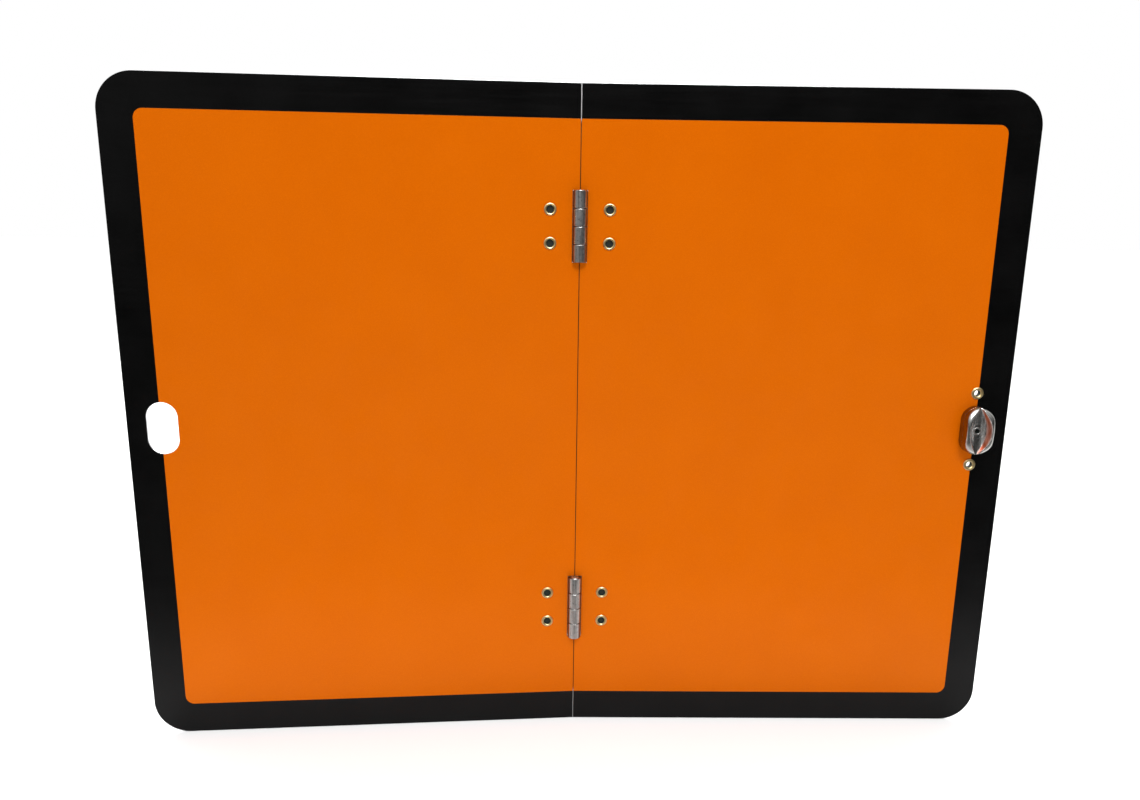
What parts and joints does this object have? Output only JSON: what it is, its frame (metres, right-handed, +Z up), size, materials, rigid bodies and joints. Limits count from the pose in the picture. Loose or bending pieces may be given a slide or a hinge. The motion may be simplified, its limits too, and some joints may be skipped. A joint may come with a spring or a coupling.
{
  "type": "folding hazard warning plate",
  "caption": "Upright hazard warning plate with an orange field and black border that folds shut about a vertical hinge line and is held closed by a turn button in an oval slot.",
  "frame": {"origin": "on the lower edge of the fixed (right) panel, in the middle of the sheet's thickness, 50 mm from the fold line", "axes": "+X along the plate from the folding panel to the fixed panel, +Y out of the fixed panel's back face, +Z up; the reflective faces look towards -Y"},
  "size_m": [0.3997, 0.0172, 0.3],
  "materials": {
    "aluminium": "mill finish, slightly matt rolled sheet",
    "orange_film": "glossy retroreflective sheeting with a fine bead texture",
    "black_film": "glossy black film",
    "zinc_steel": "zinc plated",
    "brass": "bright, rolled rim",
    "nickel": "polished nickel plate on a casting"
  },
  "bodies": {
    "fixed_half": {"right_panel": "aluminium", "right_orange_sheeting": "orange_film", "right_black_border": "black_film", "upper_hinge_right_leaf": "zinc_steel", "lower_hinge_right_leaf": "zinc_steel", "upper_hinge_pin": "zinc_steel", "lower_hinge_pin": "zinc_steel", "upper_hinge_right_top_rivet": "brass", "upper_hinge_right_bottom_rivet": "brass", "lower_hinge_right_top_rivet": "brass", "lower_hinge_right_bottom_rivet": "brass", "lock_base_plate": "zinc_steel", "lock_upper_eyelet": "brass", "lock_lower_eyelet": "brass", "lock_post": "nickel", "lock_spring_washer": "zinc_steel", "lock_pivot_rivet": "zinc_steel"},
    "folding_half": {"left_panel": "aluminium", "left_orange_sheeting": "orange_film", "left_black_border": "black_film", "upper_hinge_left_leaf": "zinc_steel", "lower_hinge_left_leaf": "zinc_steel", "upper_hinge_left_top_rivet": "brass", "upper_hinge_left_bottom_rivet": "brass", "lower_hinge_left_top_rivet": "brass", "lower_hinge_left_bottom_rivet": "brass"},
    "turn_button": {"lock_button": "nickel"}
  },
  "joints": [
    {"name": "panel_fold", "type": "hinge", "parent": "fixed_half", "child": "folding_half", "pos_m": [-0.05, -0.00155, 0.15], "axis": [0, 0, 1], "range_deg": [-4, 176]},
    {"name": "button_turn", "type": "hinge", "parent": "fixed_half", "child": "turn_button", "pos_m": [0.1347, 0.0005, 0.15], "axis": [0, -1, 0], "range_deg": [0, 90]}
  ]
}
